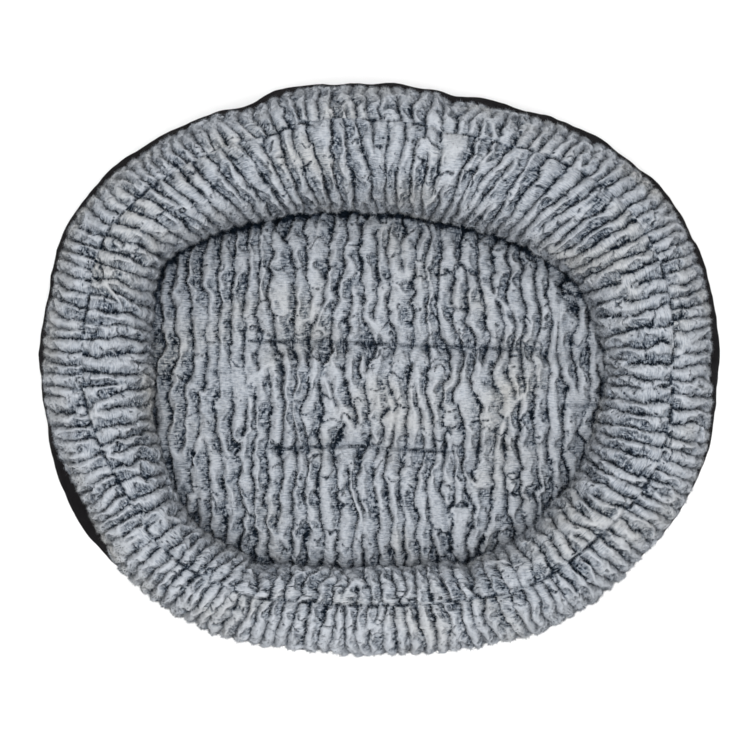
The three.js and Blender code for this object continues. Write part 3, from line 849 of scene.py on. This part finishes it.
def strip_surface(rows, cloth_rows, ridges, seed, start_at, end_at, calm_and_painted_shading_at):
    columns = ROLL_COLUMNS
    roll = Roll(even_turns(columns))
    start, end = start_at(roll), end_at(roll)
    distances = strip_distances(start, end, rows)
    section, outward = roll.face(distances)
    base = roll.place(section)
    base = base + grid_normals(base, True) * (0.7 * folds_at(roll.turns, *cloth_rows, rows))[..., None]
    length = np.linalg.norm(np.roll(base, -1, axis=1) - base, axis=-1).mean() * columns
    steps = ((end - start).mean() / (rows - 1), length / columns)
    away = turns_apart(roll.turns, TURNED_TURN)
    turned = 1 - smooth(away, TURNED_ANGLE - TURNED_FADE, TURNED_ANGLE + TURNED_FADE)
    height, tone = parted_pile(seed, (rows, columns), steps, length / ridges, ROLL_WAVINESS, turned)
    calm, dark = calm_and_painted_shading_at(roll, distances)
    rim = hump(distances - roll.crest_seam, RIM_WIDTH) + hump(distances - roll.band_seam, RIM_WIDTH)
    dashes = seam_dashes()
    # Painted light and shade on the pile's tone: dark is painted shade, painted light where it is below 0,
    # and the seams' dashes are painted shade in their grooves
    height, tone = mix(height, 0.9, calm), mix(tone, 0.9, calm) * (1 - 0.8 * dashes * rim) * (1 - dark)
    sink = SEAM_SINK * mix(0.3, 0.9, dashes)
    normals = unit(mix(grid_normals(base, True), roll.place(outward), rim[..., None]))
    lie = cloth_places(distances, steps[1])
    front = smooth(-np.sin(np.radians(roll.turns)), 0.45, 0.75)
    low = 1 - smooth((distances - roll.band_seam) / (roll.crest_seam - roll.band_seam), 0.2, 0.8)
    fuller = FRONT_OVERHANG * front * low
    return pile_surface(base, normals, height, tone, rim, sink, lie, True, fuller)


def outer_surface():
    def calm_and_painted_shading_at(roll, distances):
        # Painted light: the outer strip is lighter away from the crest, more so at the front, as if lit from
        # the front
        painted_light = mix(0.13, 0.22, smooth(-np.sin(np.radians(roll.turns)), 0, 0.7))
        return 0, -painted_light * smooth(roll.crest_seam - distances, 0, CREST_INSET_BACK)

    return strip_surface(
        OUTER_ROWS, (CLOTH_ROWS[0], sum(CLOTH_ROWS[:2])), OUTER_RIDGES, 11,
        lambda roll: roll.band_seam + FIT_GAP,
        lambda roll: roll.crest_seam,
        calm_and_painted_shading_at,
    )


def inner_surface():
    def calm_and_painted_shading_at(roll, distances):
        share = (distances - roll.crest_seam) / (roll.bulge - roll.crest_seam)
        # Painted shade under the roll's bulge, darkest just beyond it
        beyond = distances - roll.bulge - SHADE_REACH
        shade = 0.15 * smooth(beyond, -SHADE_REACH, SHADE_REACH) + 0.12 * hump(beyond, SHADE_REACH)
        return 0.3 * smooth(share, 0.6, 1), shade

    return strip_surface(
        INNER_ROWS, (sum(CLOTH_ROWS[:2]), sum(CLOTH_ROWS)), INNER_RIDGES, 23,
        lambda roll: roll.crest_seam,
        lambda roll: roll.foot,
        calm_and_painted_shading_at,
    )


# A length of a surface that goes round the roll, from one column to another
def part_of(surface, first, last):
    columns = surface["pile"].shape[1]
    chosen = np.arange(first, last + 1) % columns
    part = {key: value[:, chosen] for key, value in surface.items()}
    around = surface["lie"][..., 0]
    step = around[0, 1] - around[0, 0]
    part["lie"] = part["lie"].copy()
    part["lie"][..., 0] = np.arange(first, last + 1) * step
    return part


def make_pile(name, surface, nodes, inside=None):
    rows, columns = surface["pile"].shape
    faces, flat = grid_faces(rows, columns, closed=False)
    if inside is not None:
        kept = inside.ravel()[faces].any(axis=1)
        faces, flat = faces[kept], flat[kept]
    used = np.unique(faces)
    number = np.zeros(rows * columns, int)
    number[used] = np.arange(len(used))
    values = {"pile": surface["pile"].ravel()[used], "lie": surface["lie"].reshape(-1, 3)[used]}
    piece = make_piece(
        name, surface["points"].reshape(-1, 3)[used], number[faces], flat, "ribbed_plush", values,
        surface["normals"].reshape(-1, 3)[used],
    )
    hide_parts(*nodes)


# The cushion

def cushion_surface():
    low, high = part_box("cushion_cover")
    xs = np.arange(low.x, high.x + CUSHION_COLUMN_STEP, CUSHION_COLUMN_STEP)
    ys = np.arange(low.y, high.y + CUSHION_ROW_STEP, CUSHION_ROW_STEP)
    x, y = np.meshgrid(xs, ys)
    share = cushion_share(x, y)
    pull = np.maximum(share, 1)
    x, y = x / pull, y / pull
    steps = (CUSHION_ROW_STEP, CUSHION_COLUMN_STEP)
    height, tone = parted_pile(37, x.shape, steps, CUSHION_PITCH, 1)
    sewn = held_down(x, y)
    bare = hump(np.hypot(x - PATCH_PLACE[0], y - PATCH_PLACE[1]), PATCH_REACH)
    height, tone = mix(height, 0.8, 0.9 * bare), mix(tone, 0.86, 0.85 * bare)
    turns = turns_at(x, y)
    beyond = np.hypot(x, y) - sleeping_reach(turns)
    dashes = smooth(soft_noise(43, x.shape, steps, DASH_LENGTH), -0.8, 0.8)
    # Painted shade along the quilting: dark dashes in its groove and a broader darkening beside it
    tone = tone * (1 - mix(0.15, 0.6, dashes) * sewn) * (1 - 0.18 * held_down(x, y, QUILT_SHADE_REACH))
    # Painted light: the cushion's middle is lighter, away from the rolls' shade
    tone = tone * (1 + 0.08 * hump(np.hypot(x, y), CUSHION_PAINTED_LIGHT_REACH))
    sewn = sewn * mix(0.6, 1, dashes)
    back = smooth(np.sin(np.radians(turns)), 0.1, 0.6)
    # Painted shadow of the rolls on the cushion's edge, deeper at the back
    tone = tone * (1 - mix(0.12, 0.3, back) * smooth(beyond, -3 * SHADE_REACH, 0))
    # Painted shade: a dark line where the cushion goes in under the roll's bulge, darkest at the back
    edge = beyond + EDGE_WAVINESS * soft_noise(41, x.shape, steps, DASH_LENGTH)
    line = smooth(edge, -mix(0.3, 0.8, back) * SHADE_REACH, mix(0.3, -0.2, back) * SHADE_REACH)
    near = mix(0.45, 1, 1 - smooth(edge, SHADE_REACH / 2, SHADE_REACH))
    tone = tone * (1 - mix(0.45, 0.95, back) * line * near)
    corner, folds = cushion_folds
    row = np.clip((y - corner[1]) / CLOTH_STEP, 0, len(folds) - 1.001)
    column = np.clip((x - corner[0]) / CLOTH_STEP, 0, len(folds[0]) - 1.001)
    base = np.stack([x, y, cushion_top(x, y) + 0.8 * sample(folds, row, column)], -1)
    lie = np.stack([x, y, 0 * x], -1)
    surface = pile_surface(base, grid_normals(base, False), height, tone, sewn, SEAM_SINK, lie, False)
    return surface, share < 1


# Loose fibres over a plush surface, as slim three-cornered blades
def make_fibres(name, surface, seed, inside=None):
    rng = np.random.default_rng(seed)
    rows, columns = surface["pile"].shape
    points = surface["points"]
    across, along = points[1:, 1:] - points[1:, :-1], points[1:, 1:] - points[:-1, 1:]
    area = np.linalg.norm(np.cross(across, along), axis=-1)
    if inside is not None:
        area = area * inside[1:, 1:]
    count = int(area.sum() * FIBRES_PER_AREA)
    area = area * smooth(surface["pile"][1:, 1:], 0.05, 0.4)
    cells = np.sort(rng.choice(area.size, count, p=area.ravel() / area.sum()))
    row = cells // (columns - 1) + rng.random(count)
    column = cells % (columns - 1) + rng.random(count)
    row, column = np.minimum(row, rows - 1.001), np.minimum(column, columns - 1.001)
    at = {key: sample(field, row, column) for key, field in surface.items()}
    out, base, pile = unit(at["normals"]), unit(at["base"]), at["pile"]
    downhill = out - base * dot(out, base)
    rough = np.clip(1.1 - pile, 0.1, 1)[:, None]
    steps = (CUSHION_ROW_STEP, CUSHION_COLUMN_STEP)
    tufts = np.stack([soft_noise(rng, (rows, columns), steps, TUFT_LENGTH) for _ in range(4)], -1)
    tuft = sample(tufts, row, column)
    stray = (tuft[:, :3] + 0.4 * rng.standard_normal(out.shape)) * (0.25 + 0.9 * rough)
    way = unit(0.8 * out + 1.2 * downhill * (1.2 - rough) + stray)
    way = unit(way + out * np.maximum(0.2 - dot(way, out), 0))
    length = FIBRE_LENGTH * rng.uniform(0.6, 1.3, count)[:, None]
    side = unit(np.cross(way, out) + 0.6 * rng.standard_normal(out.shape))
    side = unit(side - way * dot(side, way)) * FIBRE_WIDTH / 2
    facing = np.sign(dot(np.cross(side, way), out))
    side = side * np.where(facing == 0, 1, facing)
    root = at["points"] - out * FIBRE_WIDTH
    corners = np.stack([root - side, root + side, root + way * length], axis=1).reshape(-1, 3)
    shade = rng.normal(0, 0.04, count) + (0.25 * tuft[:, 3] + rng.normal(0, 0.1, count)) * rough[:, 0]
    tones = np.stack([pile - 0.14 + shade, pile - 0.14 + shade, pile + 0.08 + shade], -1)
    faces = np.arange(3 * count).reshape(-1, 3)
    wide = math.ceil(math.sqrt(count))
    number = np.arange(count)
    corner = np.stack([number % wide, number // wide], -1)[:, None, :]
    flat = (corner + np.array([(0.1, 0.1), (0.9, 0.1), (0.5, 0.9)])) / wide
    values = {"pile": tones.ravel(), "lie": np.repeat(at["lie"], 3, axis=0)}
    shading = np.repeat(unit(out + 0.25 * rng.standard_normal(out.shape)), 3, axis=0)
    make_piece(name, corners, faces, flat.reshape(-1, 2), "ribbed_plush", values, shading)


def make_roll_plush():
    for kind, node_name, surface, seed in (
        ("outer", "outer_cover", outer_surface(), 100), ("inner", "inner_cover", inner_surface(), 200),
    ):
        turns = even_turns(ROLL_COLUMNS)
        for index, (length_name, start, end) in enumerate(ROLL_LENGTHS):
            first, last = np.searchsorted(turns, start), np.searchsorted(turns, end % FULL_TURN)
            part = part_of(surface, first, last + (ROLL_COLUMNS if end > FULL_TURN else 0))
            make_pile(f"{kind}_plush_{length_name}", part, [node_name])
            make_fibres(f"{kind}_fibres_{length_name}", part, seed + index)


def make_cushion_plush():
    surface, inside = cushion_surface()
    lines = [back_share * BED_DEPTH / 2 for back_share, _, _ in QUILT_LINE_SHARES]
    ys = surface["lie"][:, inside.shape[1] // 2, 1]
    splits = [0, *np.searchsorted(ys, lines), len(ys) - 1]
    for index, (first, last) in enumerate(zip(splits, splits[1:])):
        rows = slice(first, last + 1)
        part = {key: value[rows] for key, value in surface.items()}
        part_name = CUSHION_PANELS[index]
        make_pile(f"cushion_plush_{part_name}", part, ["cushion_cover"], inside[rows])
        make_fibres(f"cushion_fibres_{part_name}", part, 300 + index, inside[rows])


# The dark band and the seams

def make_band():
    roll = Roll(even_turns(BAND_COLUMNS))
    distances = strip_distances(0 * roll.band_seam, roll.band_seam + 2 * FABRIC_THICKNESS, BAND_ROWS)
    base = roll.place(roll.face(distances)[0])
    normals = grid_normals(base, True)
    base = base + normals * (0.5 * folds_at(roll.turns, 0, CLOTH_ROWS[0], BAND_ROWS))[..., None]
    share = distances / roll.band_seam
    steps = (roll.band_seam.mean() / BAND_ROWS, BAND_AROUND / BAND_COLUMNS)
    rng = np.random.default_rng(71)
    puckers = wandering_wave(rng, distances.shape, steps, PUCKER_PITCH, PUCKER_RUN, 0.4).real
    folds = soft_noise(rng, distances.shape, steps, BAND_FOLD_LENGTH)
    puckered = SEAM_PUCKER_HEIGHT * hump(share - 1, 0.3) + PUCKER_HEIGHT * hump(share, 0.35)
    under = smooth(share, 0.97, 1.05)
    rise = puckers * puckered + PUCKER_HEIGHT * folds * np.sin(np.pi * np.clip(share, 0, 1))
    rise = np.maximum(rise, -PUCKER_HEIGHT) - BAND_TUCK_DEPTH * under
    points = base + normals * rise[..., None]
    points[..., 2] = np.maximum(points[..., 2], 0)
    values = {"lie": cloth_places(distances, steps[1])}
    faces, flat = grid_faces(BAND_ROWS, BAND_COLUMNS, closed=True)
    piece = make_piece("band_fabric", points, faces, flat, "dark_fabric", values)
    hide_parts("side_band")


# A row of sewn stitches along a path: each one a slim rounded bar that dips at its ends
def make_stitches(name, path, outward, closed, node_name):
    outward = np.broadcast_to(outward, path.shape)
    if closed:
        path, outward = np.vstack([path, path[:1]]), np.vstack([outward, outward[:1]])
    reach = np.concatenate([[0], np.cumsum(np.linalg.norm(np.diff(path, axis=0), axis=1))])
    count = int(reach[-1] / STITCH_PITCH)
    sides, shares = 6, np.array([-0.42, -0.36, -0.18, 0, 0.18, 0.36, 0.42])
    widths = np.array([0.25, 0.75, 1, 1, 1, 0.75, 0.25])
    middles = (np.arange(count) + 0.5) / count * reach[-1]
    at = middles[:, None] + shares * STITCH_PITCH
    centre = np.stack([np.interp(at, reach, path[:, k]) for k in range(3)], -1)
    up = unit(np.stack([np.interp(at, reach, outward[:, k]) for k in range(3)], -1))
    forward = unit(np.gradient(centre, axis=1))
    side = unit(np.cross(forward, up))
    centre = centre - up * (THREAD_RADIUS * 1.5 * (shares / 0.42)[None, :, None] ** 2)
    angles = np.arange(sides) * 2 * np.pi / sides
    ring = side[:, :, None] * np.cos(angles)[:, None] + up[:, :, None] * np.sin(angles)[:, None]
    points = centre[:, :, None] + ring * (THREAD_RADIUS * widths)[None, :, None, None]
    one, _ = grid_faces(len(shares), sides, closed=True)
    faces = one[None] + (np.arange(count) * len(shares) * sides)[:, None, None]
    piece = make_piece(name, points, faces.reshape(-1, 4), None, "seam_thread")
    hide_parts(node_name)


# Evenly spaced turns, once round the bed
def turns_round(count):
    return np.arange(count) * FULL_TURN / count


def make_seams():
    turns = turns_round(900)
    roll = Roll(turns)
    for name, node_name, distance, depth in (
        ("crest_stitches", "crest_seam", roll.crest_seam, CREST_STITCH_DEPTH),
        ("band_stitches", "band_seam", roll.band_seam - FABRIC_THICKNESS, -BAND_STITCH_PROUD),
    ):
        section, outward = roll.face(distance[None, :])
        path = roll.place(section - outward * depth)[0]
        away = np.concatenate([roll.rays * outward[0][:, :1], outward[0][:, 1:]], -1)
        make_stitches(name, path, away, True, node_name)
    cushion_reach = roll.foot_reach + 2 * FABRIC_THICKNESS
    for name, node_name, reach, height, up in (
        ("base_stitches", "base_seam", roll.outer - BASE_INSET - 2 * SEAM_WIDTH, 2 * FIT_GAP, -1),
        ("cushion_stitches", "cushion_seam", cushion_reach, FOOT_HEIGHT - FABRIC_THICKNESS, 1),
    ):
        path = np.concatenate([roll.rays * reach[:, None], np.full((len(turns), 1), height)], -1)
        make_stitches(name, path, (0, 0, up), True, node_name)
    for line, name in enumerate(("quilt_seam_front", "quilt_seam_rear")):
        _, left_share, right_share = QUILT_LINE_SHARES[line]
        x = np.linspace(left_share, right_share, 120) * BED_LENGTH / 2
        y = quilt_line_y(x, line)
        path = np.stack([x, y, cushion_top(x, y) - SEAM_SINK], -1)
        make_stitches(name + "_stitches", path, (0, 0, 1), False, name)


# Points and triangles of a closed body: a grid of rings, with each end closed at a middle point
def closed_body(points, middles, flipped=False):
    rings, sides = points.shape[:2]
    faces, _ = grid_faces(rings, sides, closed=True)
    ring = np.arange(sides)
    after = (ring + 1) % sides
    if flipped:
        faces = faces[:, ::-1]
        ring, after = after, ring
    last, middle = (rings - 1) * sides, np.full(sides, rings * sides)
    caps = [np.stack([after, ring, middle], -1), np.stack([last + ring, last + after, middle + 1], -1)]
    triangles = np.concatenate([faces[:, [0, 1, 2]], faces[:, [0, 2, 3]], *caps])
    return np.concatenate([points.reshape(-1, 3), middles]), triangles


# Places on rings that grow from the middle to a reach
def disc_places(turns, reach, shares):
    return unit(ellipse_points(turns))[None] * (reach[None, :] * shares[:, None])[..., None]


# A closed body over those places, from its underside's middle out to its edge and in again over its top
def disc_body(flat, bottom, top, middle_heights):
    lower, upper = (np.concatenate([flat, height[..., None]], -1) for height in (bottom, top))
    middles = np.array([(0, 0, height) for height in middle_heights])
    return closed_body(np.concatenate([lower, upper[::-1]]), middles)


# Flat cloth: the base under the bed and the lining under the cushion
def make_flat_cloth(name, node_name, reach_at, bottom, thickness, slot, ripple):
    turns = turns_round(360)
    shares = np.linspace(0, 1, 49)[1:]
    flat = disc_places(turns, reach_at(turns), shares)
    field = soft_noise(91, flat.shape[:2], RIPPLE_STEPS, RIPPLE_LENGTH)
    wave = ripple * field[::-1] * np.sin(np.pi * shares)[:, None]
    top = bottom + thickness
    grid, triangles = disc_body(flat, bottom + wave, top + wave, (bottom, top))
    piece = make_piece(name, grid, triangles, None, slot, {"lie": grid})
    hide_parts(node_name)


# Stuffing: soft closed bodies that fill the covers
def make_roll_stuffing(name, start, end):
    turns = np.linspace(start + STUFFING_END_ANGLE, end - STUFFING_END_ANGLE, 80)
    roll = Roll(turns)
    distances = strip_distances(0 * roll.foot, roll.foot, 60)
    section, outward = roll.face(distances)
    under = smooth(distances, roll.band_seam - 6 * FABRIC_THICKNESS, roll.band_seam - FABRIC_THICKNESS)
    lumps = ROLL_LUMPS * np.abs(soft_noise(int(start * 10), distances.shape, ROLL_LUMP_STEPS, LUMP_LENGTH))
    deep = mix(FABRIC_THICKNESS, PLUSH_THICKNESS, under) + FIT_GAP + lumps
    foot_section, foot_outward = roll.face(roll.foot[None, :])
    wall = (foot_section - foot_outward * PLUSH_THICKNESS)[0, :, 0] + SEAM_WIDTH + 2 * FIT_GAP
    base_section, base_outward = roll.face(0 * roll.foot[None, :])
    floor_edge = (base_section - base_outward * FABRIC_THICKNESS)[0, :, 0] - 2 * FIT_GAP
    floor = np.full(len(turns), FABRIC_THICKNESS + FIT_GAP)
    foot = np.full(len(turns), FOOT_HEIGHT + PLUSH_THICKNESS + FIT_GAP)
    corners = [np.stack(pair, -1)[None] for pair in ((wall, foot), (wall, floor), (floor_edge, floor))]
    loop = np.concatenate([section - outward * deep[..., None], *corners])
    points = roll.place(loop).transpose(1, 0, 2)
    middles = np.stack([points[0].mean(axis=0), points[-1].mean(axis=0)])
    grid, triangles = closed_body(points, middles, flipped=True)
    piece = make_piece("stuffing_" + name, grid, triangles, None, "fibre_fill")
    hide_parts("roll_fill_" + name)


def make_cushion_stuffing():
    turns = turns_round(240)
    flat = disc_places(turns, foot_reach(turns) - 2 * FIT_GAP, np.linspace(0, 1, 41)[1:] ** 0.8)
    lumps = CUSHION_LUMPS * np.abs(soft_noise(97, flat.shape[:2], CUSHION_LUMP_STEPS, LUMP_LENGTH))
    x, y = flat[..., 0], flat[..., 1]
    top = cushion_top(x, y) - PLUSH_THICKNESS - FIT_GAP - lumps - 0.4 * quilt_dip(x, y)
    middle_top = cushion_top(np.zeros(1), np.zeros(1))[0] - PLUSH_THICKNESS - FIT_GAP
    bottom = FABRIC_THICKNESS + LINING_THICKNESS + 2 * FIT_GAP
    grid, triangles = disc_body(flat, np.full(top.shape, bottom), top, (bottom, middle_top))
    piece = make_piece("cushion_stuffing", grid, triangles, None, "fibre_fill")
    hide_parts("cushion_fill")


make_roll_plush()
make_cushion_plush()
make_band()
make_seams()
make_flat_cloth(
    "base_fabric", "base_panel", lambda turns: outer_reach(turns) - BASE_INSET - BASE_HEM,
    BASE_CLOTH_HEIGHT, BASE_CLOTH_THICKNESS, "dark_fabric", BASE_RIPPLES,
)
make_flat_cloth(
    "lining_fabric", "cushion_lining", lambda turns: foot_reach(turns) - FIT_GAP,
    FABRIC_THICKNESS + FIT_GAP, LINING_CLOTH_THICKNESS, "lining_cloth", LINING_RIPPLES,
)
for name, start, end in ROLL_LENGTHS:
    make_roll_stuffing(name, start, end)
make_cushion_stuffing()


# The stage, the lights and the camera

def make_stage():
    mesh = bpy.data.meshes.new("floor")
    half = FLOOR_HALF_WIDTH
    points = [(-half, -half, 0), (half, -half, 0), (half, half, 0), (-half, half, 0)]
    mesh.from_pydata(points, [], [(0, 1, 2, 3)])
    material, _, shader = start_material("pale_floor", 0.9, specular=0.1)
    shader.inputs["Base Color"].default_value = (0.93, 0.93, 0.93, 1)
    mesh.materials.append(material)
    add_object("floor", mesh)


def make_area_light(name, place, power):
    light = bpy.data.lights.new(name, "AREA")
    light.shape = "DISK"
    light.size = LIGHT_SIZE
    light.energy = power
    lamp = add_object(name, light)
    lamp.location = place
    lamp.rotation_euler = lamp.location.to_track_quat("Z", "Y").to_euler()
    lamp.visible_camera = False


def make_lights():
    world = bpy.data.worlds.new("studio")
    world.use_nodes = True
    background = world.node_tree.nodes["Background"]
    background.inputs["Color"].default_value = (1, 1, 1, 1)
    background.inputs["Strength"].default_value = 0.86
    bpy.context.scene.world = world
    for name, place, power in LIGHTS:
        make_area_light(name, place, power)
    bpy.context.scene.view_settings.view_transform = "Standard"


def make_camera():
    camera = bpy.data.cameras.new("camera")
    camera.sensor_width = SENSOR_MM
    camera.lens = SENSOR_MM * (CAMERA_HEIGHT - BAND_HEIGHT) / VIEW_WIDTH
    camera.clip_end = CAMERA_REACH
    holder = add_object("camera", camera)
    holder.location = (CAMERA_OFFSET, CAMERA_OFFSET, CAMERA_HEIGHT)
    bpy.context.scene.camera = holder


make_stage()
make_lights()
make_camera()
